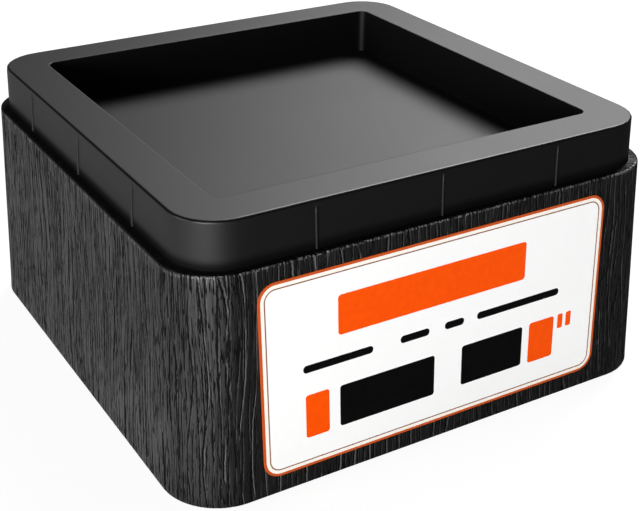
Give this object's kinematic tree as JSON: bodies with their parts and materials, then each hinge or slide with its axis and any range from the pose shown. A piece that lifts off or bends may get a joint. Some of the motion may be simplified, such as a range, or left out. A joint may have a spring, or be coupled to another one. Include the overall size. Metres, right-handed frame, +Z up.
{
  "type": "bed riser",
  "caption": "Square black bed riser with a deep square leg recess, a stepped collar, wood-grain sides and a ribbed, stackable underside.",
  "frame": {"origin": "middle of the foot, on the floor that the riser stands on", "axes": "+Z up, into the bed leg; -Y out of the labelled side; +X to the right of that side"},
  "size_m": [0.185, 0.185, 0.0934],
  "materials": {
    "riser_plastic": "black moulded plastic, wood-grain relief on the sides and fine satin on the collar and recess",
    "label_film": "white printed film with an orange border"
  },
  "bodies": {
    "root": {"riser": "riser_plastic", "front_label": "label_film"}
  },
  "joints": []
}
